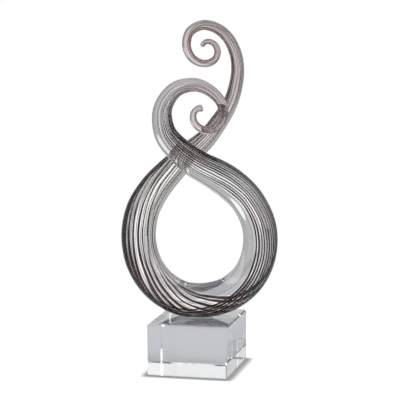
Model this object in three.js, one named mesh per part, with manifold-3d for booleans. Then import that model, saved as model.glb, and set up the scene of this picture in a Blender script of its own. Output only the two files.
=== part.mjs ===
// Hand-worked filigree glass sculpture, bonded to a block of optical crystal.
// One tapering rod of cased cane glass is bent into a curl, a ring, a crossing and a second curl.
// Millimetres, +Z up, the front faces -Y. The origin is the centre of the block's underside.
import * as THREE from 'three';
import { mergeVertices } from 'three/addons/utils/BufferGeometryUtils.js';
import Module from 'manifold-3d';

const wasm = await Module();
wasm.setup();

// Crystal block
const blockWidth = 80;
const blockDepth = 88;
const blockHeight = 51;
const blockChamfer = 1.2;

// Glue bond between the block and the flat ground on the rod
const bondThickness = 0.5;
const bondRim = 0.8; // how far the glue squeezes out past the ground flat
const groundDepth = 1.1; // how deep the flat is ground into the rod

// The rod, tip to tip
const rodRadius = 17; // at the ring, where the rod is full
const tipRadius = 2.5;
const tipRounding = 35; // degrees of the end that are fire-polished round
const strandGap = 0.5; // between the two strands where they cross

// The figure that the rod is bent to; every place in it is given in ring radii from the ring's centre
const ringRadius = 62.8; // from the ring's centre to the middle of the rod
const ringShift = 1.5; // the ring's centre lies this far right of the block's centre
const loopCentre = [0.091, 1.952]; // of the small loop: to the right, up
const curlCentre = [0.14, 2.968]; // of the upper curl: to the right, up

// Knots round a centre, in degrees from the right, anticlockwise as seen from the front
const upperCurlStart = 135;
const ringStart = 158;
const lowerCurlStart = 208;
const curlKnotStep = -36;
const ringKnotStep = 24;

// The rod's make-up across, in shares of its radius there
const casingBore = 0.66;
const caneOuter = 0.61;
const caneInner = 0.53;
const coreRadius = 0.48;

// Canes
const darkCanes = 14; // each has a white cane beside it
const caneArc = 190; // degrees of the round that the canes cover, clear glass fills the rest
const caneShare = 0.6; // how much of its place in the arc a cane fills
const offsetFade = 14; // millimetres from a tip in which the canes move back to the rod's middle

// Where the middle of the canes' arc faces, from one tip to the other at equal steps of knots:
// degrees from the rod's shaded side towards the back
const arcTurns = [
  10, 10, 12, 15, 20, 25, 30, 35, 42, 50, 60, 70, 75, 62,
  30, -3, -20, -32, -46, -52, -46, -34, -20, -8, 4, 12, 20,
];

// How far the canes' middle lies towards the shaded side, in shares of the rod's radius, tip to tip
const laneShifts = [0, 0.08, 0.12, 0.14, 0.14, 0.1, 0.04, 0.12, 0.13, 0.13, 0.18, 0.18, 0.1, 0];

// Facets
const casingSides = 12;
const coreSides = 8;
const bondSegments = 32;
const fullTurnPerStep = 20; // degrees of bend between two sections where the rod is full
const thinTurnPerStep = 29; // the same at a tip
const lengthPerStep = 120; // millimetres of straight rod between two sections
const trailSamples = 1600; // places measured along the rod to lay the sections by

const flatHeight = blockHeight + bondThickness;
const ringHeight = flatHeight - groundDepth + ringRadius + rodRadius;

// A place on the rod's middle line. swell is 0 at the tips and 1 at the full rod.
// lean is -1 for a strand that lies in front of the middle plane and 1 for one behind it.
function knot(right, up, swell, lean) {
  const radius = THREE.MathUtils.lerp(tipRadius, rodRadius, swell);
  const back = lean * (radius + strandGap / 2);
  const point = new THREE.Vector3(ringShift + right * ringRadius, back, ringHeight + up * ringRadius);
  return { point, radius };
}

// Knots at equal angles round a centre, each at its own reach from it
function bend([right, up], firstAngle, angleStep, rows) {
  return rows.map(([reach, swell, lean], index) => {
    const angle = THREE.MathUtils.degToRad(firstAngle + index * angleStep);
    return knot(right + reach * Math.cos(angle), up + reach * Math.sin(angle), swell, lean);
  });
}

// Knots of a free stretch: right, up, swell, lean
function stretch(rows) {
  return rows.map((row) => knot(...row));
}

// The upper curl, from its tip outwards: reach, swell, lean
const upperCurl = bend(curlCentre, upperCurlStart, curlKnotStep, [
  [0.07, 0, 0.5], [0.092, 0, 0.5], [0.121, 0.01, 0.5], [0.153, 0.03, 0.5], [0.191, 0.05, 0.5],
  [0.22, 0.066, 0.5], [0.232, 0.086, 0.5], [0.248, 0.1, 0.5], [0.274, 0.117, 0.5], [0.312, 0.132, 0.5],
  [0.357, 0.147, 0.5], [0.361, 0.167, 0.6], [0.352, 0.193, 0.7], [0.376, 0.218, 0.8], [0.462, 0.243, 0.9],
]);

// The tendril, down behind the small loop and the crossing to the ring's left side
const tendril = stretch([
  [0.627, 2.63, 0.27, 0.95], [0.581, 2.348, 0.304, 1], [0.492, 2.098, 0.34, 1],
  [0.325, 1.834, 0.415, 1], [0.11, 1.56, 0.497, 1], [-0.191, 1.296, 0.64, 1],
  [-0.482, 1.038, 0.776, 1], [-0.764, 0.716, 0.907, 0.8],
]);

// The ring, round its foot from left to right: reach, swell, lean
const ring = bend([0, 0], ringStart, ringKnotStep, [
  [1.016, 0.993, 0.55], [1.006, 1.024, 0.42], [1.014, 1.04, 0.3], [1.022, 1.04, 0.18],
  [1.016, 1.03, 0.06], [0.99, 1.01, -0.05], [0.995, 0.998, -0.17], [1.008, 0.998, -0.3],
  [1.019, 0.998, -0.43], [1.04, 0.978, -0.57], [1.054, 0.943, -0.7],
]);

// The front strand, up across the tendril to the small loop
const crossing = stretch([
  [0.584, 0.895, 0.938, -0.85], [0.384, 1.027, 0.912, -0.97], [0.061, 1.19, 0.811, -1],
  [-0.225, 1.389, 0.715, -1],
]);

// The small loop and the lower curl, to its tip
const lowerCurl = bend(loopCentre, lowerCurlStart, curlKnotStep, [
  [0.626, 0.598, -1], [0.607, 0.471, -1], [0.554, 0.365, -1], [0.468, 0.284, -1], [0.392, 0.223, -1],
  [0.366, 0.182, -1], [0.341, 0.147, -1], [0.295, 0.112, -1], [0.242, 0.091, -1], [0.194, 0.08, -1],
  [0.156, 0.066, -1], [0.132, 0.046, -1], [0.111, 0.03, -1], [0.096, 0.02, -1],
]);

const knots = [...upperCurl, ...tendril, ...ring, ...crossing, ...lowerCurl];
const middleLine = new THREE.CatmullRomCurve3(knots.map((k) => k.point), false, 'centripetal');

// A smooth run of values from tip to tip, read by t from 0 to 1
function smoothRun(values) {
  const line = new THREE.SplineCurve(values.map((value, index) => new THREE.Vector2(index, value)));
  return (t) => line.getPoint(t).y;
}

const radiusAt = smoothRun(knots.map((k) => k.radius));
const turnAt = smoothRun(arcTurns.map(THREE.MathUtils.degToRad));
const shiftAt = smoothRun(laneShifts);

// One cross-section of the rod. side points to the rod's shaded side, away from the ring's hole.
function section(t) {
  const along = middleLine.getTangent(t);
  const side = new THREE.Vector3(0, 1, 0).cross(along).normalize();
  const across = along.clone().cross(side);
  const radius = radiusAt(t);
  return { centre: middleLine.getPoint(t), along, side, across, radius, skin: radius, turn: turnAt(t), t };
}

// Places along the rod, each with the way and the effort of bending that lead up to it.
// A place is a turning where the rod runs upright or level, which is where the figure is widest.
function measureTrail() {
  const trail = [];
  let travelled = 0;
  let effort = 0;
  let before = section(0);
  for (let index = 0; index <= trailSamples; index++) {
    const here = section(index / trailSamples);
    const pace = here.centre.distanceTo(before.centre);
    const turn = THREE.MathUtils.radToDeg(here.along.angleTo(before.along));
    const turnPerStep = THREE.MathUtils.mapLinear(
      here.radius, tipRadius, rodRadius, thinTurnPerStep, fullTurnPerStep);
    travelled += pace;
    effort += turn / turnPerStep + pace / lengthPerStep;
    const turning = here.along.x * before.along.x < 0 || here.along.z * before.along.z < 0;
    trail.push({ t: here.t, travelled, effort, turning });
    before = here;
  }
  return trail;
}

// Sections along the rod, one at each turning and evenly between them
function laySections() {
  const trail = measureTrail();
  const last = trail[trailSamples];
  const stations = trail.filter((mark) => mark.turning || mark === trail[0] || mark === last);
  const marks = [];
  for (let index = 1; index < stations.length; index++) {
    const start = stations[index - 1];
    const way = stations[index].effort - start.effort;
    const count = Math.ceil(way);
    for (let step = 0; step < count; step++) {
      marks.push(trail.find((mark) => mark.effort >= start.effort + (step / count) * way));
    }
  }
  marks.push(last);
  return marks.map((mark) => {
    const toTip = Math.min(mark.travelled, last.travelled - mark.travelled);
    const shift = shiftAt(mark.t) * radiusAt(mark.t) * THREE.MathUtils.smoothstep(toTip, 0, offsetFade);
    return { ...section(mark.t), shift };
  });
}

// A section moved past a tip, where the casing rounds in
function roundedEnd(last, direction) {
  const angle = THREE.MathUtils.degToRad(tipRounding);
  return {
    ...last,
    centre: last.centre.clone().addScaledVector(last.along, direction * last.radius * Math.sin(angle)),
    skin: last.radius * Math.cos(angle),
  };
}

const bodySections = laySections();
const sections = [
  roundedEnd(bodySections[0], -1),
  ...bodySections,
  roundedEnd(bodySections[bodySections.length - 1], 1),
];

// A point in a section, by angle from the shaded side, round a middle that may be shifted
function pointAt(at, shift, reach, angle) {
  return at.centre.clone()
    .addScaledVector(at.side, shift + reach * Math.cos(angle))
    .addScaledVector(at.across, reach * Math.sin(angle));
}

// A closed outline of a section, with its flats at the reach when outside is true
function polygon(at, shift, reach, sides, outside) {
  const corner = outside ? reach / Math.cos(Math.PI / sides) : reach;
  return Array.from({ length: sides }, (_, index) =>
    pointAt(at, shift, corner, ((index + 0.5) / sides) * 2 * Math.PI));
}

function solidGeometry(vertices, triangles) {
  const geometry = new THREE.BufferGeometry();
  const positions = vertices.flatMap((vertex) => vertex.toArray());
  geometry.setAttribute('position', new THREE.Float32BufferAttribute(positions, 3));
  geometry.setIndex(triangles.flat());
  return geometry;
}

// The wall between outlines that follow each other; inward turns its faces round
function wall(outlines, start, inward) {
  const sides = outlines[0].length;
  const triangles = [];
  for (let row = 0; row < outlines.length - 1; row++) {
    for (let index = 0; index < sides; index++) {
      const a = start + row * sides + index;
      const b = start + row * sides + ((index + 1) % sides);
      const c = b + sides;
      const d = a + sides;
      triangles.push(...(inward ? [[a, c, b], [a, d, c]] : [[a, b, c], [a, c, d]]));
    }
  }
  return triangles;
}

// A solid strand through outlines, closed by a flat face at each end
function strandGeometry(outlines) {
  const sides = outlines[0].length;
  const last = (outlines.length - 1) * sides;
  const triangles = wall(outlines, 0, false);
  for (let index = 1; index < sides - 1; index++) {
    triangles.push([0, index + 1, index], [last, last + index, last + index + 1]);
  }
  return solidGeometry(outlines.flat(), triangles);
}

// A tube between outer and inner outlines, open at both ends
function tubeGeometry(outer, inner) {
  const sides = outer[0].length;
  const innerStart = outer.length * sides;
  const last = (outer.length - 1) * sides;
  const triangles = [...wall(outer, 0, false), ...wall(inner, innerStart, true)];
  for (let index = 0; index < sides; index++) {
    const next = (index + 1) % sides;
    triangles.push([index, innerStart + index, innerStart + next], [index, innerStart + next, next]);
    triangles.push([last + index, innerStart + last + next, innerStart + last + index]);
    triangles.push([last + index, last + next, innerStart + last + next]);
  }
  return solidGeometry([...outer.flat(), ...inner.flat()], triangles);
}

function toSolid(geometry) {
  const bare = geometry.clone();
  bare.deleteAttribute('normal');
  bare.deleteAttribute('uv');
  const merged = mergeVertices(bare, 1e-4);
  return new wasm.Manifold(new wasm.Mesh({
    numProp: 3,
    vertProperties: new Float32Array(merged.attributes.position.array),
    triVerts: new Uint32Array(merged.index.array),
  }));
}

function fromSolid(solid) {
  const { vertProperties, triVerts } = solid.getMesh();
  const geometry = new THREE.BufferGeometry();
  geometry.setAttribute('position', new THREE.BufferAttribute(new Float32Array(vertProperties), 3));
  geometry.setIndex(new THREE.BufferAttribute(new Uint32Array(triVerts), 1));
  return geometry;
}

// Half the length and half the width of the flat that grinding leaves on the ring's foot
const flatHalfLength = Math.sqrt((ringRadius + rodRadius) ** 2 - (ringRadius + rodRadius - groundDepth) ** 2);
const flatHalfWidth = Math.sqrt(rodRadius ** 2 - (rodRadius - groundDepth) ** 2);

function crystalBase() {
  const outline = new THREE.Shape();
  const halfWidth = blockWidth / 2 - blockChamfer;
  const halfDepth = blockDepth / 2 - blockChamfer;
  outline.moveTo(-halfWidth, -halfDepth);
  outline.lineTo(halfWidth, -halfDepth);
  outline.lineTo(halfWidth, halfDepth);
  outline.lineTo(-halfWidth, halfDepth);
  outline.closePath();
  const geometry = new THREE.ExtrudeGeometry(outline, {
    depth: blockHeight - 2 * blockChamfer,
    bevelThickness: blockChamfer,
    bevelSize: blockChamfer,
    bevelSegments: 1,
  });
  return geometry.translate(0, 0, blockChamfer);
}

function bondPad() {
  const outline = new THREE.Shape();
  outline.absellipse(ringShift, 0, flatHalfLength + bondRim, flatHalfWidth + bondRim, 0, 2 * Math.PI);
  const geometry = new THREE.ExtrudeGeometry(outline, {
    depth: bondThickness,
    bevelEnabled: false,
    curveSegments: bondSegments,
  });
  return geometry.translate(0, 0, blockHeight);
}

// The clear outer glass: round outside, bored off centre, and ground flat under the ring
function glassCasing() {
  const outer = sections.map((at) => polygon(at, 0, at.skin, casingSides, true));
  const inner = sections.map((at) => polygon(at, at.shift, casingBore * at.radius, casingSides, false));
  const grinder = new THREE.BoxGeometry(4 * flatHalfLength, 4 * rodRadius, 2 * rodRadius);
  grinder.translate(ringShift, 0, flatHeight - rodRadius);
  return fromSolid(toSolid(tubeGeometry(outer, inner)).subtract(toSolid(grinder)));
}

function glassCore() {
  return strandGeometry(sections.map((at) =>
    polygon(at, at.shift, coreRadius * at.radius, coreSides, false)));
}

// One cane, pressed to a wedge with its point to the core, in the layer between core and casing
function cane(place) {
  const arc = THREE.MathUtils.degToRad(caneArc);
  const pitch = arc / (2 * darkCanes);
  const half = (caneShare * pitch) / 2;
  const corners = [[caneInner, 0], [caneOuter, -half], [caneOuter, half]];
  return strandGeometry(sections.map((at) => {
    const middle = at.turn + (place + 0.5) * pitch - arc / 2;
    return corners.map(([share, aside]) => pointAt(at, at.shift, share * at.radius, middle + aside));
  }));
}

function glass(color, opacity) {
  return new THREE.MeshStandardMaterial({ color, roughness: 0.05, metalness: 0, transparent: true, opacity });
}

const sculpture = new THREE.Group();

function add(name, geometry, material) {
  const mesh = new THREE.Mesh(geometry, material);
  mesh.name = name;
  sculpture.add(mesh);
}

add('crystal_base', crystalBase(), glass('#e6ecee', 0.35));
add('bond_pad', bondPad(), glass('#dfe4e4', 0.5));
add('glass_casing', glassCasing(), glass('#d8dcde', 0.3));
add('glass_core', glassCore(), glass('#e2ddda', 0.4));
for (let index = 0; index < darkCanes; index++) {
  const number = String(index + 1).padStart(2, '0');
  add(`dark_cane_${number}`, cane(2 * index), glass('#2a2026', 1));
  add(`white_cane_${number}`, cane(2 * index + 1), glass('#f2efea', 1));
}

export default sculpture;
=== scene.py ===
import math
import bmesh
import bpy
from mathutils import Matrix, Vector


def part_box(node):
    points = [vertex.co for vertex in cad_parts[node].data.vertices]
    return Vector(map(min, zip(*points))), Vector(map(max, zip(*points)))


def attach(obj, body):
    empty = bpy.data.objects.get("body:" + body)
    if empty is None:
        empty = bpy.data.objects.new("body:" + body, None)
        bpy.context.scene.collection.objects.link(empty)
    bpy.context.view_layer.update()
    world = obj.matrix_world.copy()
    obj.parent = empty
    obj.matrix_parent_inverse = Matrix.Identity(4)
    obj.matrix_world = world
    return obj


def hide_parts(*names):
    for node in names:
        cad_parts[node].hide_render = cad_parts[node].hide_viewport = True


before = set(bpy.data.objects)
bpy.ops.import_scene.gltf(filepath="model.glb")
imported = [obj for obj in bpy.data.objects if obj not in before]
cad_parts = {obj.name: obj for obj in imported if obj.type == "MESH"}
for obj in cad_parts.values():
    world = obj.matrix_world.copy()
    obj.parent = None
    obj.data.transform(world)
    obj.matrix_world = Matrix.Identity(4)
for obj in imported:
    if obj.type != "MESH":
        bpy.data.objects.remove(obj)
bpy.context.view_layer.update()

mm = 0.001
print("frame loaded")

# Sizes in millimetres. They are those of the solids, which have no knob at the tip
block = {
    "height": 51,
    "bevel": 1.2,
}
bond = {
    "thickness": 0.5,
    "rim": 0.8,           # squeezed out past the ground flat
    "rimRounding": 0.45,
    "rimFrom": 0.6,       # share of the thickness at which the rim starts to round
    "lap": 0.03,          # wets both glasses, so that light passes
    "segments": 96,
}
rod = {
    "radius": 17,
    "tipRadius": 2.5,
    "strandGap": 0.5,
    "groundDepth": 1.1,
    "ringRadius": 62.8,
    "ringShift": 1.5,
    "loopCentre": (0.091, 1.952),   # in ring radii from the ring's centre: to the right, up
    "curlCentre": (0.14, 2.968),
    "upperCurlStart": 135,          # degrees from the right, anticlockwise from the front
    "ringStart": 158,
    "lowerCurlStart": 208,
    "curlKnotStep": -36,
    "ringKnotStep": 24,
    "samples": 6000,      # places measured along the rod
    "bendPerSection": 3,  # degrees
    "lengthPerSection": 6,
    "sides": 64,
    "tipDome": 0.7,       # how far a fire-polished end stands out, in tip radii
    "hair": 0.05,         # the drawn skin stays this far inside the solid one
    "knobSwell": 0.35,    # the lower curl's melted tip is this much stouter, here alone
    "knobLength": 6,
}
rod["flatHeight"] = block["height"] + bond["thickness"]
rod["ringHeight"] = rod["flatHeight"] - rod["groundDepth"] + rod["ringRadius"] + rod["radius"]


def makeKnot(right, up, swell, lean):
    radius = rod["tipRadius"] + swell * (rod["radius"] - rod["tipRadius"])
    back = lean * (radius + rod["strandGap"] / 2)
    centre = Vector((
        rod["ringShift"] + right * rod["ringRadius"],
        back,
        rod["ringHeight"] + up * rod["ringRadius"]))
    return centre, radius


def bendKnots(centre, firstAngle, angleStep, rows):
    bent = []
    for index, (reach, swell, lean) in enumerate(rows):
        angle = math.radians(firstAngle + index * angleStep)
        right = centre[0] + reach * math.cos(angle)
        up = centre[1] + reach * math.sin(angle)
        bent.append(makeKnot(right, up, swell, lean))
    return bent


# The knots that the rod is bent along, as in the solids: reach, swell, lean, or right, up, swell, lean
upperCurl = bendKnots(rod["curlCentre"], rod["upperCurlStart"], rod["curlKnotStep"], [
    (0.07, 0, 0.5), (0.092, 0, 0.5), (0.121, 0.01, 0.5), (0.153, 0.03, 0.5), (0.191, 0.05, 0.5),
    (0.22, 0.066, 0.5), (0.232, 0.086, 0.5), (0.248, 0.1, 0.5), (0.274, 0.117, 0.5), (0.312, 0.132, 0.5),
    (0.357, 0.147, 0.5), (0.361, 0.167, 0.6), (0.352, 0.193, 0.7), (0.376, 0.218, 0.8), (0.462, 0.243, 0.9),
])
tendril = [makeKnot(*row) for row in [
    (0.627, 2.63, 0.27, 0.95), (0.581, 2.348, 0.304, 1), (0.492, 2.098, 0.34, 1),
    (0.325, 1.834, 0.415, 1), (0.11, 1.56, 0.497, 1), (-0.191, 1.296, 0.64, 1),
    (-0.482, 1.038, 0.776, 1), (-0.764, 0.716, 0.907, 0.8),
]]
ring = bendKnots((0, 0), rod["ringStart"], rod["ringKnotStep"], [
    (1.016, 0.993, 0.55), (1.006, 1.024, 0.42), (1.014, 1.04, 0.3), (1.022, 1.04, 0.18),
    (1.016, 1.03, 0.06), (0.99, 1.01, -0.05), (0.995, 0.998, -0.17), (1.008, 0.998, -0.3),
    (1.019, 0.998, -0.43), (1.04, 0.978, -0.57), (1.054, 0.943, -0.7),
])
crossing = [makeKnot(*row) for row in [
    (0.584, 0.895, 0.938, -0.85), (0.384, 1.027, 0.912, -0.97), (0.061, 1.19, 0.811, -1),
    (-0.225, 1.389, 0.715, -1),
]]
lowerCurl = bendKnots(rod["loopCentre"], rod["lowerCurlStart"], rod["curlKnotStep"], [
    (0.626, 0.598, -1), (0.607, 0.471, -1), (0.554, 0.365, -1), (0.468, 0.284, -1), (0.392, 0.223, -1),
    (0.366, 0.182, -1), (0.341, 0.147, -1), (0.295, 0.112, -1), (0.242, 0.091, -1), (0.194, 0.08, -1),
    (0.156, 0.066, -1), (0.132, 0.046, -1), (0.111, 0.03, -1), (0.096, 0.02, -1),
])
knots = upperCurl + tendril + ring + crossing + lowerCurl

# The bundle of threads inside the rod, in shares of the rod's radius there
bundle = {
    "canes": 14,          # dark ones, each with a white one beside it
    "arc": 190,           # degrees of the round that the threads cover
    "fade": 14,           # millimetres from a tip in which the bundle moves back to the middle
    # where the arc's middle faces, tip to tip, in degrees from the shaded side towards the back
    "turns": [
        10, 10, 12, 15, 20, 25, 30, 35, 42, 50, 60, 70, 75, 62,
        30, -3, -20, -32, -46, -52, -46, -34, -20, -8, 4, 12, 20,
    ],
    # how far its middle lies towards the shaded side, tip to tip
    "shifts": [0, 0.08, 0.12, 0.14, 0.14, 0.1, 0.04, 0.12, 0.13, 0.13, 0.18, 0.18, 0.1, 0],
    # how stout the dark threads are, tip to tip
    "stoutness": [
        1, 1, 1, 1, 1, 1, 1, 1, 1, 0.9, 0.6, 0.68, 0.72, 0.92,
        1.06, 1.6, 1.2, 1.05, 1.15, 1.15, 1, 1, 1, 1, 1, 1, 1,
    ],
    # how much stouter they run on the shaded side, and slimmer on the other
    "leans": [
        0.3, 0.3, 0.3, 0.3, 0.3, 0.3, 0.3, 0.35, 0.4, 0.5, 0.5, 0.5, 0.55, 0.85,
        0.2, -0.4, -0.3, -0.2, 0.5, 0.8, 0.5, 0.45, 0.4, 0.3, 0.3, 0.3, 0.3,
    ],
    # how thick the white threads are, in shares of the rod's radius there
    "veils": [
        0.028, 0.028, 0.028, 0.028, 0.028, 0.028, 0.028, 0.026, 0.022, 0.022, 0.03, 0.018, 0.011, 0.011,
        0.012, 0.005, 0.004, 0.004, 0.009, 0.018, 0.014, 0.012, 0.018, 0.02, 0.014, 0.012, 0.012,
    ],
}


# The stretch of a run that a place from 0 to 1 lies in, and the share of it that is passed
def findStretch(place, count):
    at = min(max(place, 0), 1) * (count - 1)
    index = min(int(at), count - 2)
    return index, at - index


# A smooth passage from one value or point to the next, with the slope it has at each
def curveBetween(start, end, startSlope, endSlope, share):
    return (start + startSlope * share
            + (3 * (end - start) - 2 * startSlope - endSlope) * share ** 2
            + (2 * (start - end) + startSlope + endSlope) * share ** 3)


# A smooth run through values from tip to tip
def readRun(values, place):
    index, share = findStretch(place, len(values))
    before, start, end, after = (
        values[min(max(index + step, 0), len(values) - 1)] for step in (-1, 0, 1, 2))
    return curveBetween(start, end, (end - before) / 2, (after - start) / 2, share)


# The middle of the rod: a spline through the knots that stays even where they lie unevenly
def routePoint(place):
    index, share = findStretch(place, len(knots))
    p1, p2 = knots[index][0], knots[index + 1][0]
    p0 = knots[index - 1][0] if index > 0 else 2 * p1 - p2
    p3 = knots[index + 2][0] if index + 2 < len(knots) else 2 * p2 - p1
    d0, d1, d2 = (math.sqrt((b - a).length) for a, b in ((p0, p1), (p1, p2), (p2, p3)))
    startSlope = ((p1 - p0) / d0 - (p2 - p0) / (d0 + d1) + (p2 - p1) / d1) * d1
    endSlope = ((p2 - p1) / d1 - (p3 - p1) / (d1 + d2) + (p3 - p2) / d2) * d1
    return curveBetween(p1, p2, startSlope, endSlope, share)


def smoothStep(value, low, high):
    share = min(max((value - low) / (high - low), 0), 1)
    return share * share * (3 - 2 * share)


# Stops along the rod, closer together where it bends more. side points to the shaded side,
# away from the ring's hole, and across to the back
def layRoute():
    step = 1 / rod["samples"]
    radii = [radius for _, radius in knots]
    turns = [math.radians(turn) for turn in bundle["turns"]]
    stops = []
    effort = 0
    travelled = 0
    before = None
    for index in range(rod["samples"] + 1):
        place = index * step
        centre = routePoint(place)
        along = (routePoint(place + step / 2) - routePoint(place - step / 2)).normalized()
        if before:
            pace = (centre - before[0]).length
            travelled += pace
            bend = math.degrees(along.angle(before[1]))
            effort += bend / rod["bendPerSection"] + pace / rod["lengthPerSection"]
        if before is None or effort >= len(stops) or index == rod["samples"]:
            side = Vector((0, 1, 0)).cross(along).normalized()
            girth = readRun(radii, place)
            stops.append({
                "centre": centre, "along": along, "side": side, "across": along.cross(side),
                "girth": girth, "skin": girth - rod["hair"], "turn": readRun(turns, place),
                "shift": readRun(bundle["shifts"], place) * girth, "travelled": travelled,
                "stout": readRun(bundle["stoutness"], place) * girth,
                "veil": readRun(bundle["veils"], place) * girth,
                "lean": readRun(bundle["leans"], place),
            })
        before = (centre, along)
    for stop in stops:
        toTip = min(stop["travelled"], travelled - stop["travelled"])
        stop["shift"] *= smoothStep(toTip, 0, bundle["fade"])
        toKnob = travelled - stop["travelled"]
        stop["skin"] *= 1 + rod["knobSwell"] * (1 - smoothStep(toKnob, 0, rod["knobLength"]))
    return stops


route = layRoute()
print("route", round(route[-1]["travelled"], 1), "mm in", len(route), "stops")


def domedEnd(stop, direction, degrees):
    angle = math.radians(degrees)
    dome = dict(stop)
    outward = direction * rod["tipDome"] * stop["girth"] * math.sin(angle)
    dome["centre"] = stop["centre"] + stop["along"] * outward
    dome["skin"] = stop["skin"] * math.cos(angle)
    return dome


domeAngles = (22, 42, 58, 71, 81)
skinRoute = ([domedEnd(route[0], -1, angle) for angle in reversed(domeAngles)] + route
             + [domedEnd(route[-1], 1, angle) for angle in domeAngles])


def linkObject(name, data):
    linked = bpy.data.objects.new(name, data)
    bpy.context.scene.collection.objects.link(linked)
    return linked


# A line of edges whose points carry the rod's directions and sizes, for the node trees to follow
def makeGuide(name, stops):
    mesh = bpy.data.meshes.new(name)
    edges = [(index, index + 1) for index in range(len(stops) - 1)]
    mesh.from_pydata([stop["centre"] * mm for stop in stops], edges, [])
    for key in ("girth", "skin", "shift", "stout", "veil", "travelled", "turn", "lean"):
        unit = 1 if key in ("turn", "lean") else mm
        values = [stop[key] * unit for stop in stops]
        mesh.attributes.new(key, "FLOAT", "POINT").data.foreach_set("value", values)
    for key in ("side", "across"):
        flat = [number for stop in stops for number in stop[key]]
        mesh.attributes.new(key, "FLOAT_VECTOR", "POINT").data.foreach_set("vector", flat)
    return linkObject(name, mesh)


# Adds a node; links gives each input the socket it comes from or a plain value
def addNode(tree, kind, settings=None, links=None):
    node = tree.nodes.new(kind)
    for key, value in (settings or {}).items():
        setattr(node, key, value)
    for key, value in (links or {}).items():
        if isinstance(value, bpy.types.NodeSocket):
            tree.links.new(value, node.inputs[key])
        else:
            node.inputs[key].default_value = value
    return node


# The nodes that are used most, each giving the socket with its result
def addMath(tree, operation, *values):
    return addNode(tree, "ShaderNodeMath", {"operation": operation}, dict(enumerate(values))).outputs[0]


def addVectorMath(tree, operation, *values):
    node = addNode(tree, "ShaderNodeVectorMath", {"operation": operation}, dict(enumerate(values)))
    return node.outputs["Value" if operation in ("DOT_PRODUCT", "LENGTH") else "Vector"]


def addScaled(tree, vector, size):
    return addNode(tree, "ShaderNodeVectorMath", {"operation": "SCALE"}, {
        0: vector, "Scale": size}).outputs[0]


# Moves a value from one span to another, with soft ends or straight
def addRange(tree, value, start, end, toStart=0.0, toEnd=1.0, soft=True):
    return addNode(tree, "ShaderNodeMapRange", {"interpolation_type": "SMOOTHSTEP" if soft else "LINEAR"}, {
        "Value": value, "From Min": start, "From Max": end,
        "To Min": toStart, "To Max": toEnd}).outputs[0]


# Noise whose swings are about one length apart
def addNoise(tree, where, length, detail=1.0):
    return addNode(tree, "ShaderNodeTexNoise", None, {
        "Vector": where, "Scale": 1 / length, "Detail": detail}).outputs[0]


def addBlend(tree, share, first, second, kind="MIX"):
    return addNode(tree, "ShaderNodeMix", {"data_type": "RGBA", "blend_type": kind}, {
        0: share, 6: first, 7: second}).outputs[2]


# A hex colour as linear red, green, blue and full alpha
def srgb(code):
    channels = [int(code[index:index + 2], 16) / 255 for index in (1, 3, 5)]
    return [c / 12.92 if c <= 0.04045 else ((c + 0.055) / 1.055) ** 2.4 for c in channels] + [1]


def startTree(name, sockets):
    tree = bpy.data.node_groups.new(name, "GeometryNodeTree")
    identifiers = {}
    for label, kind in sockets:
        socket = tree.interface.new_socket(name=label, in_out="INPUT", socket_type=kind)
        identifiers[label] = socket.identifier
    tree.interface.new_socket(name="Mesh", in_out="OUTPUT", socket_type="NodeSocketGeometry")
    return tree, identifiers, addNode(tree, "NodeGroupInput").outputs


# What the guide's points carry under a name
def readGuide(tree, name, kind="FLOAT"):
    return addNode(tree, "GeometryNodeInputNamedAttribute", {"data_type": kind}, {"Name": name}).outputs[0]


# Sweeps a round along a line, as thick as the thickness says, and gives it its material
def endTree(tree, line, circle, thickness, material):
    body = addNode(tree, "GeometryNodeCurveToMesh", None, {
        "Curve": line, "Profile Curve": circle, "Scale": thickness, "Fill Caps": True})
    smooth = addNode(tree, "GeometryNodeSetShadeSmooth", None, {
        "Geometry": body.outputs[0], "Shade Smooth": True})
    real = addNode(tree, "GeometryNodeRealizeInstances", None, {"Geometry": smooth.outputs[0]})
    dressed = addNode(tree, "GeometryNodeSetMaterial", None, {
        "Geometry": real.outputs[0], "Material": material})
    addNode(tree, "NodeGroupOutput", None, {0: dressed.outputs[0]})


# The skin: a round swept along the guide, as thick as the guide says. It carries its place round the rod
def buildRodTree():
    tree, identifiers, given = startTree("drawnRod", [
        ("Guide", "NodeSocketGeometry"), ("Sides", "NodeSocketInt"), ("Material", "NodeSocketMaterial")])
    line = addNode(tree, "GeometryNodeMeshToCurve", None, {"Mesh": given["Guide"]})
    circle = addNode(tree, "GeometryNodeCurvePrimitiveCircle", None, {
        "Resolution": given["Sides"], "Radius": 1.0})
    place = addNode(tree, "GeometryNodeInputPosition")
    marked = addNode(tree, "GeometryNodeStoreNamedAttribute", {"data_type": "FLOAT_VECTOR"}, {
        "Geometry": circle.outputs[0], "Name": "round", "Value": place.outputs[0]})
    endTree(tree, line.outputs[0], marked.outputs[0], readGuide(tree, "skin"), given["Material"])
    return tree, identifiers


threadRhythm = {
    "driftLength": 70,    # millimetres
    "swellLength": 26,
    "swell": 0.22,
    "noiseSpan": (0.25, 0.75),
    "seedStep": 3.1,      # sets each thread's own rhythm apart from the next one's
    "thinGirth": 5,       # below this radius of rod a thread is wholly drawn thin
    "fullGirth": 13,
}


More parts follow.
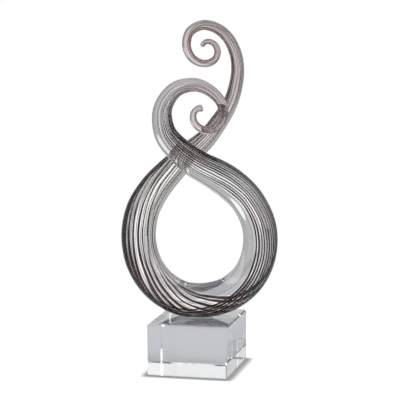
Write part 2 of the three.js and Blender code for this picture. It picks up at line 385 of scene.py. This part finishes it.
# One cane's thread: the guide set off from the rod's middle by angle and reach. Girths names what its
# thickness follows
def buildThreadTree():
    tree, identifiers, given = startTree("drawnThread", [
        ("Guide", "NodeSocketGeometry"), ("Angle", "NodeSocketFloat"), ("Reach", "NodeSocketFloat"),
        ("Girths", "NodeSocketString"), ("Thickness", "NodeSocketFloat"), ("Thin Share", "NodeSocketFloat"),
        ("Wander", "NodeSocketFloat"), ("Seed", "NodeSocketFloat"), ("Lean Share", "NodeSocketFloat"),
        ("Sides", "NodeSocketInt"), ("Material", "NodeSocketMaterial")])
    girth, shift, turn, travelled, lean, ownGirth = (
        readGuide(tree, key) for key in ("girth", "shift", "turn", "travelled", "lean", given["Girths"]))
    side, across = (readGuide(tree, key, "FLOAT_VECTOR") for key in ("side", "across"))
    line = addNode(tree, "GeometryNodeMeshToCurve", None, {"Mesh": given["Guide"]})
    # each thread drifts a little in angle and swells a little, in its own slow rhythm
    beat = addNode(tree, "ShaderNodeCombineXYZ", None, {"X": travelled, "Y": given["Seed"]}).outputs[0]
    low, high = threadRhythm["noiseSpan"]
    swell = threadRhythm["swell"]
    drift = addNoise(tree, beat, threadRhythm["driftLength"] * mm)
    drifted = addRange(tree, drift, low, high, -1.0, 1.0, soft=False)
    swelling = addNoise(tree, beat, threadRhythm["swellLength"] * mm)
    swollen = addRange(tree, swelling, low, high, 1 - swell, 1 + swell, soft=False)
    # where it runs in the rod
    wandering = addMath(tree, "MULTIPLY_ADD", drifted, given["Wander"], given["Angle"])
    angle = addMath(tree, "ADD", wandering, turn)
    cosine = addMath(tree, "COSINE", angle)
    sine = addMath(tree, "SINE", angle)
    reach = addMath(tree, "MULTIPLY", girth, given["Reach"])
    sideways = addScaled(tree, side, addMath(tree, "MULTIPLY_ADD", reach, cosine, shift))
    backwards = addScaled(tree, across, addMath(tree, "MULTIPLY", reach, sine))
    placed = addNode(tree, "GeometryNodeSetPosition", None, {
        "Geometry": line.outputs[0], "Offset": addVectorMath(tree, "ADD", sideways, backwards)})
    # how thick it is there
    thinFrom, thinTo = threadRhythm["thinGirth"] * mm, threadRhythm["fullGirth"] * mm
    slim = addRange(tree, girth, thinFrom, thinTo, given["Thin Share"], 1.0)
    share = addMath(tree, "MULTIPLY", slim, swollen)
    leaned = addMath(tree, "MULTIPLY", lean, given["Lean Share"])
    leaning = addMath(tree, "MULTIPLY_ADD", cosine, leaned, 1.0)
    leant = addMath(tree, "MULTIPLY", share, leaning)
    whole = addMath(tree, "MULTIPLY", ownGirth, given["Thickness"])
    thickness = addMath(tree, "MULTIPLY", whole, leant)
    circle = addNode(tree, "GeometryNodeCurvePrimitiveCircle", None, {
        "Resolution": given["Sides"], "Radius": 1.0})
    endTree(tree, placed.outputs[0], circle.outputs[0], thickness, given["Material"])
    return tree, identifiers


# Runs a tree on a guide line and keeps the result as a plain mesh
def growPiece(name, guide, tree, identifiers, values):
    seed = linkObject(name + "Seed", guide.data)
    modifier = seed.modifiers.new("grow", "NODES")
    modifier.node_group = tree
    for label, value in values.items():
        modifier[identifiers[label]] = value
    mesh = bpy.data.meshes.new_from_object(seed.evaluated_get(bpy.context.evaluated_depsgraph_get()))
    mesh.name = name
    piece = linkObject(name, mesh)
    seed.modifiers.remove(modifier)
    bpy.data.objects.remove(seed)
    return piece


weld = 1e-7  # metres within which two points are one


# Joins the caps to the wall, cuts where asked and turns all faces outward
def closeMesh(mesh, cut=None):
    shape = bmesh.new()
    shape.from_mesh(mesh)
    bmesh.ops.remove_doubles(shape, verts=shape.verts, dist=weld)
    if cut:
        cut(shape)
    bmesh.ops.recalc_face_normals(shape, faces=shape.faces)
    shape.to_mesh(mesh)
    shape.free()


def startMaterial(name):
    material = bpy.data.materials.new(name)
    material.use_nodes = True
    tree = material.node_tree
    return material, tree, tree.nodes["Principled BSDF"]


# Smooth glass of any colour; bending is its refractive index
def startGlass(name, bending, clearness=1.0):
    material, tree, shader = startMaterial(name)
    shader.inputs["Roughness"].default_value = 0.0
    shader.inputs["IOR"].default_value = bending
    shader.inputs["Transmission Weight"].default_value = clearness
    return material, tree, shader


def readMesh(tree, name, output="Fac"):
    return addNode(tree, "ShaderNodeAttribute", {"attribute_name": name}).outputs[output]


clearGlass = {
    "bending": 1.5,
    "colour": "#fdfdfd",
    # the cords' grey is painted shade: darker surroundings seen through the glass, laid into its colour
    "cordShadeColour": "#a4a4aa",
    "roseHaze": "#eadfdf",
    "hazeFrom": 12,       # millimetres of rod radius
    "hazeTo": 4,
    "cordsAround": 3,
    "cordLength": 240,
    "cordShift": 5.95,    # which cords lie where round the rod
    "cordFrom": 0.53,     # of the noise, where a cord starts to show and where it is full
    "cordTo": 0.63,
}


# Clear glass, drawn and bent hot. Cords along the draw run in soft streaks, greyed as painted shade, and
# thin stretches take a rose haze from the threads
def makeClearGlass():
    material, tree, shader = startGlass("drawnClearGlass", clearGlass["bending"])
    wide = addScaled(tree, readMesh(tree, "round", "Vector"), clearGlass["cordsAround"])
    long = addMath(tree, "DIVIDE", readMesh(tree, "travelled"), clearGlass["cordLength"] * mm)
    along = addNode(tree, "ShaderNodeCombineXYZ", None, {"X": clearGlass["cordShift"], "Z": long})
    cords = addNoise(tree, addVectorMath(tree, "ADD", wide, along.outputs[0]), 1.0, 2.0)
    cord = addRange(tree, cords, clearGlass["cordFrom"], clearGlass["cordTo"])
    # the cord streaks are greyed as painted shade
    cordShaded = addBlend(tree, cord, srgb(clearGlass["colour"]), srgb(clearGlass["cordShadeColour"]))
    haze = addRange(tree, readMesh(tree, "girth"), clearGlass["hazeFrom"] * mm, clearGlass["hazeTo"] * mm)
    tint = addBlend(tree, haze, cordShaded, srgb(clearGlass["roseHaze"]), "MULTIPLY")
    tree.links.new(tint, shader.inputs["Base Color"])
    return material


crystal = {
    "bending": 1.52,
    "colours": ("#f3f5f7", "#f7f8f9"),
    "striaeLength": 30,   # millimetres
}


# Sawn and polished optical crystal: flat, bright and without colour, with striae too faint to name
def makeCrystal():
    material, tree, shader = startGlass("polishedOpticalCrystal", crystal["bending"])
    where = addNode(tree, "ShaderNodeTexCoord").outputs["Object"]
    striae = addNoise(tree, where, crystal["striaeLength"] * mm)
    tint = addBlend(tree, striae, *(srgb(colour) for colour in crystal["colours"]))
    tree.links.new(tint, shader.inputs["Base Color"])
    return material


glue = {
    "bending": 1.5,
    "colours": ("#f6f7f4", "#fbfbfa"),
    "mottleLength": 4,    # millimetres
}


# Clear glue, cured in light: it joins the two glasses optically and shows as a bright rim at most
def makeGlue():
    material, tree, shader = startGlass("curedClearGlue", glue["bending"])
    where = addNode(tree, "ShaderNodeTexCoord").outputs["Object"]
    mottle = addNoise(tree, where, glue["mottleLength"] * mm, 2.0)
    tint = addBlend(tree, mottle, *(srgb(colour) for colour in glue["colours"]))
    tree.links.new(tint, shader.inputs["Base Color"])
    return material


caneGlass = {
    "bending": 1.01,      # against the glass round it
    "lowerSpan": (0.38, 0.5),   # of the noise, where the first shade gives way to the second
    "upperSpan": (0.52, 0.64),  # and the second to the third
    "paleGirth": 3,       # below this radius of rod it is wholly pale
    "deepGirth": 10,
    "dark": {
        "name": "amethystCaneGlass",
        "shades": ("#2e2028", "#4a302e", "#2c2638"),
        "drawnThin": "#b6989a",
        "shadeLength": 34,
        "clearness": 1.0,
    },
    "white": {
        "name": "opalCaneGlass",
        "shades": ("#fdf8f3", "#f8ece4", "#f2e0d6"),
        "drawnThin": "#efdfdb",
        "shadeLength": 22,
        "clearness": 0.0,
    },
}


# Coloured cane glass, see-through or opal: its colour runs from one shade to another along the draw,
# and pales where the rod is drawn thin. It bends light as the glass round it does, so only colour shows
def makeCaneGlass(colour):
    kind = caneGlass[colour]
    first, second, third = (srgb(shade) for shade in kind["shades"])
    material, tree, shader = startGlass(kind["name"], caneGlass["bending"], kind["clearness"])
    where = addNode(tree, "ShaderNodeTexCoord").outputs["Object"]
    noise = addNoise(tree, where, kind["shadeLength"] * mm)
    lower = addBlend(tree, addRange(tree, noise, *caneGlass["lowerSpan"], soft=False), first, second)
    upper = addBlend(tree, addRange(tree, noise, *caneGlass["upperSpan"], soft=False), lower, third)
    thinness = addRange(
        tree, readMesh(tree, "girth"), caneGlass["deepGirth"] * mm, caneGlass["paleGirth"] * mm)
    pale = addBlend(tree, thinness, upper, srgb(kind["drawnThin"]))
    tree.links.new(pale, shader.inputs["Base Color"])
    return material


materials = {
    "clear": makeClearGlass(),
    "crystal": makeCrystal(),
    "glue": makeGlue(),
    "dark": makeCaneGlass("dark"),
    "white": makeCaneGlass("white"),
}
print("materials")

guide = makeGuide("routeGuide", route)
skinGuide = makeGuide("skinGuide", skinRoute)
rodTree, rodInputs = buildRodTree()
threadTree, threadInputs = buildThreadTree()


# Cuts the rod's foot off level where it stands on the glue
def grindFlat(shape):
    cut = bmesh.ops.bisect_plane(
        shape, geom=shape.verts[:] + shape.edges[:] + shape.faces[:], dist=weld,
        plane_co=(0, 0, rod["flatHeight"] * mm), plane_no=(0, 0, 1), clear_inner=True)
    rim = [part for part in cut["geom_cut"] if isinstance(part, bmesh.types.BMEdge)]
    flat = bmesh.ops.contextual_create(shape, geom=rim)
    for face in flat["faces"]:
        face.smooth = False


glassRod = growPiece("glassRod", skinGuide, rodTree, rodInputs, {
    "Sides": rod["sides"], "Material": materials["clear"]})
closeMesh(glassRod.data, grindFlat)
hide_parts("glass_casing", "glass_core")
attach(glassRod, "root")
print("rod", len(glassRod.data.polygons), "faces")

# Threads by colour, in shares of the rod's radius, from the arc's front end to its back end
threads = {
    "dark": {
        "girths": "stout",
        "thickness": [0.03, 0.035, 0.028, 0.036, 0.03, 0.032, 0.026,
                      0.031, 0.024, 0.031, 0.025, 0.03, 0.024, 0.029],
        "reach": 0.57,
        "pairPlace": 0.5,  # where it runs in its pair's two places
        "thinShare": [1.5, 0.2, 0.2, 0.2, 1.5, 0.2, 0.2, 0.2, 1.4, 0.2, 0.2, 0.2, 1.3, 0.2],
        "wander": 0.06,    # radians
        "leanShare": 1.0,
        "seedShift": 0,
        "sides": 6,
    },
    "white": {
        "girths": "veil",
        "thickness": [1] * 14,
        "reach": 0.55,
        "pairPlace": 1.5,
        "thinShare": [0.4, 1, 1.2, 0.6, 0.4, 1.1, 1.1, 0.6, 0.4, 1, 1.2, 0.6, 0.4, 1],
        "wander": 0.05,
        "leanShare": 0.0,
        "seedShift": 1.5,
        "sides": 5,
    },
}


def makeThread(colour, cane):
    kind = threads[colour]
    place = math.radians(bundle["arc"]) / (2 * bundle["canes"])
    piece = growPiece(f"{colour}Thread{cane + 1:02d}", guide, threadTree, threadInputs, {
        "Angle": (2 * cane + kind["pairPlace"]) * place - math.radians(bundle["arc"]) / 2,
        "Reach": kind["reach"],
        "Girths": kind["girths"],
        "Thickness": kind["thickness"][cane],
        "Thin Share": kind["thinShare"][cane],
        "Wander": kind["wander"],
        "Seed": threadRhythm["seedStep"] * cane + kind["seedShift"],
        "Lean Share": kind["leanShare"],
        "Sides": kind["sides"],
        "Material": materials[colour],
    })
    closeMesh(piece.data)
    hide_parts(f"{colour}_cane_{cane + 1:02d}")
    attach(piece, "root")


for cane in range(bundle["canes"]):
    makeThread("dark", cane)
    makeThread("white", cane)
for helper in (guide, skinGuide):
    bpy.data.objects.remove(helper)
print("threads", 2 * bundle["canes"])


# Turns a shape's faces outward and makes a piece of it
def finishShape(name, shape, material):
    bmesh.ops.recalc_face_normals(shape, faces=shape.faces)
    mesh = bpy.data.meshes.new(name)
    shape.to_mesh(mesh)
    shape.free()
    mesh.materials.append(material)
    return linkObject(name, mesh)


# The block with its sharp edges taken off
def makeBlock():
    low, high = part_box("crystal_base")
    shape = bmesh.new()
    bmesh.ops.create_cube(shape, size=1)
    for vertex in shape.verts:
        vertex.co = Vector([
            low[axis] + (vertex.co[axis] + 0.5) * (high[axis] - low[axis]) for axis in range(3)])
    bmesh.ops.bevel(
        shape, geom=shape.edges[:], offset=block["bevel"] * mm, segments=1, profile=0.5, affect="EDGES")
    piece = finishShape("crystalBlock", shape, materials["crystal"])
    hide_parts("crystal_base")
    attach(piece, "root")


# The glue under the ground flat, with a rounded rim
def makeGluePad():
    outer = rod["ringRadius"] + rod["radius"]
    halfLength = math.sqrt(outer ** 2 - (outer - rod["groundDepth"]) ** 2) + bond["rim"]
    halfWidth = math.sqrt(rod["radius"] ** 2 - (rod["radius"] - rod["groundDepth"]) ** 2) + bond["rim"]
    levels = [
        (-bond["lap"], 0),
        (bond["rimFrom"] * bond["thickness"], 0),
        (bond["thickness"] + bond["lap"], bond["rimRounding"]),
    ]
    shape = bmesh.new()
    rims = []
    for height, inset in levels:
        rim = []
        for index in range(bond["segments"]):
            angle = 2 * math.pi * index / bond["segments"]
            rim.append(shape.verts.new(Vector((
                rod["ringShift"] + (halfLength - inset) * math.cos(angle),
                (halfWidth - inset) * math.sin(angle),
                block["height"] + height)) * mm))
        rims.append(rim)
    for below, above in zip(rims, rims[1:]):
        for index in range(bond["segments"]):
            after = (index + 1) % bond["segments"]
            shape.faces.new((below[index], below[after], above[after], above[index]))
    shape.faces.new(list(reversed(rims[0])))
    shape.faces.new(rims[-1])
    piece = finishShape("gluePad", shape, materials["glue"])
    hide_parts("bond_pad")
    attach(piece, "root")


makeBlock()
makeGluePad()
print("block and glue")

camera = {
    "azimuth": 14.07,
    "elevation": 8.62,
    "roll": -0.5,
    "distance": 1795.7,
    "target": (3.7, 0, 168.0),
    "lens": 164.7,
    "sensor": 36,
}
stage = {
    "floorDrop": 0.5,         # millimetres between the block and the floor
    "floorHalf": 250,
    "floorSeen": "#b4b4b4",
    "floorInGlass": "#cacace",  # as glass shows it, a plain pale table
    "whiteFrom": 1,           # millimetres from the block at which the floor starts to fade to white
    "whiteTo": 13,
    "studioGrey": 0.48,
    "backdrop": 1.0,
    "overhead": 0.8,
    "overheadFrom": 0.5,      # height of a direction, as a share of straight up
    "overheadTo": 0.9,
    "backdropHalfWidth": 16,  # degrees of pale backdrop seen through the glass, behind the piece
    "backdropSoftness": 6,
    "boardSoftness": 2,
    "dome": 0.76,             # even light from all round, on surfaces that scatter it
}
# Pale boards round the set, which the block shows in its faces: degrees from the back towards the right,
# degrees up, degrees from a board's middle to its edge, brightness
boards = [
    (camera["azimuth"], camera["elevation"], 9, 1.0),
    (camera["azimuth"] + 180, 4, 16, 0.95),
]


# A pale table that keeps the shadow near the block and fades to white around it
def makeFloor():
    mesh = bpy.data.meshes.new("studioFloor")
    half = stage["floorHalf"] * mm
    drop = -stage["floorDrop"] * mm
    corners = [(-half, -half, drop), (half, -half, drop), (half, half, drop), (-half, half, drop)]
    mesh.from_pydata(corners, [], [(0, 1, 2, 3)])
    material, tree, shader = startMaterial("paleStudioFloor")
    shader.inputs["Roughness"].default_value = 0.9
    shader.inputs["Specular IOR Level"].default_value = 0.0
    seen = addNode(tree, "ShaderNodeLightPath").outputs["Is Camera Ray"]
    colour = addBlend(tree, seen, srgb(stage["floorInGlass"]), srgb(stage["floorSeen"]))
    tree.links.new(colour, shader.inputs["Base Color"])
    # how far a point lies outside the block's sides
    low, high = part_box("crystal_base")
    where = addNode(tree, "ShaderNodeTexCoord").outputs["Object"]
    past = addVectorMath(tree, "SUBTRACT", addVectorMath(tree, "ABSOLUTE", where), (high[0], high[1], 0))
    away = addVectorMath(tree, "LENGTH", addVectorMath(tree, "MAXIMUM", past, (0, 0, 0)))
    fade = addRange(tree, away, stage["whiteFrom"] * mm, stage["whiteTo"] * mm)
    glow = addMath(tree, "MULTIPLY", seen, fade)
    shader.inputs["Emission Color"].default_value = (1, 1, 1, 1)
    tree.links.new(glow, shader.inputs["Emission Strength"])
    mesh.materials.append(material)
    piece = linkObject("studioFloor", mesh)


# A round patch of the surroundings: one level within halfWidth degrees of its middle, another outside,
# and a soft edge between them
def addPatch(tree, direction, middle, halfWidth, softness, outside, inside):
    facing = addVectorMath(tree, "DOT_PRODUCT", direction, middle)
    outer, inner = (math.cos(math.radians(halfWidth + step)) for step in (softness, -softness))
    return addRange(tree, facing, outer, inner, outside, inside)


# Grey studio walls with a pale backdrop behind the piece, plain white where the camera sees it bare
def makeWorld():
    world = bpy.data.worlds.new("studio")
    world.use_nodes = True
    tree = world.node_tree
    background = tree.nodes["Background"]
    path = addNode(tree, "ShaderNodeLightPath")
    direction = addNode(tree, "ShaderNodeTexCoord").outputs["Generated"]
    height = addNode(tree, "ShaderNodeSeparateXYZ", None, {0: direction}).outputs["Z"]
    azimuth = math.radians(camera["azimuth"])
    behind = (-math.sin(azimuth), math.cos(azimuth), 0)
    around = addPatch(
        tree, direction, behind, stage["backdropHalfWidth"], stage["backdropSoftness"],
        stage["studioGrey"], stage["backdrop"])
    for angle, lift, reach, brightness in boards:
        turn, lift = math.radians(angle), math.radians(lift)
        middle = (math.sin(turn) * math.cos(lift), math.cos(turn) * math.cos(lift), math.sin(lift))
        board = addPatch(tree, direction, middle, reach, stage["boardSoftness"], 0.0, brightness)
        around = addMath(tree, "MAXIMUM", around, board)
    overhead = addRange(tree, height, stage["overheadFrom"], stage["overheadTo"], 0.0, stage["overhead"])
    studio = addMath(tree, "ADD", around, overhead)
    scattered = addMath(tree, "MINIMUM", path.outputs["Diffuse Depth"], 1.0)
    dome = addNode(tree, "ShaderNodeMix", {"data_type": "FLOAT"}, {
        0: scattered, 2: studio, 3: stage["dome"]})
    seen = addNode(tree, "ShaderNodeMix", {"data_type": "FLOAT"}, {
        0: path.outputs["Is Camera Ray"], 2: dome.outputs[0], 3: 1.0})
    tree.links.new(seen.outputs[0], background.inputs["Strength"])
    background.inputs["Color"].default_value = (1, 1, 1, 1)
    bpy.context.scene.world = world


# Softboxes: size in millimetres, power in watts, place and what they point at in millimetres
lamps = {
    "softboxLeft": ((1100, 1600), 6, (-1300, -900, 900), (0, 0, 170)),
    "softboxRight": ((1000, 1600), 12, (1400, -500, 800), (0, 0, 170)),
    "softboxTop": ((1400, 1400), 3, (150, 200, 1800), (0, 0, 0)),
}


def makeLamp(name, size, power, place, aim):
    lamp = bpy.data.lights.new(name, "AREA")
    lamp.shape = "RECTANGLE"
    lamp.size, lamp.size_y = size[0] * mm, size[1] * mm
    lamp.energy = power
    holder = linkObject(name, lamp)
    holder.location = Vector(place) * mm
    holder.rotation_euler = (Vector(aim) - Vector(place)).to_track_quat("-Z", "Y").to_euler()


def makeCamera():
    azimuth, elevation, roll = (math.radians(camera[key]) for key in ("azimuth", "elevation", "roll"))
    back = Vector((math.sin(azimuth) * math.cos(elevation), -math.cos(azimuth) * math.cos(elevation),
                   math.sin(elevation)))
    level = Vector((0, 0, 1)).cross(back).normalized()
    upright = back.cross(level)
    right = level * math.cos(roll) + upright * math.sin(roll)
    up = upright * math.cos(roll) - level * math.sin(roll)
    data = bpy.data.cameras.new("photoCamera")
    data.lens = camera["lens"]
    data.sensor_width = camera["sensor"]
    holder = linkObject("photoCamera", data)
    place = (Vector(camera["target"]) + back * camera["distance"]) * mm
    holder.matrix_world = Matrix.Translation(place) @ Matrix((right, up, back)).transposed().to_4x4()
    bpy.context.scene.camera = holder


makeFloor()
makeWorld()
for name, values in lamps.items():
    makeLamp(name, *values)
makeCamera()
bpy.context.scene.view_settings.view_transform = "Standard"
print("stage, light and camera")
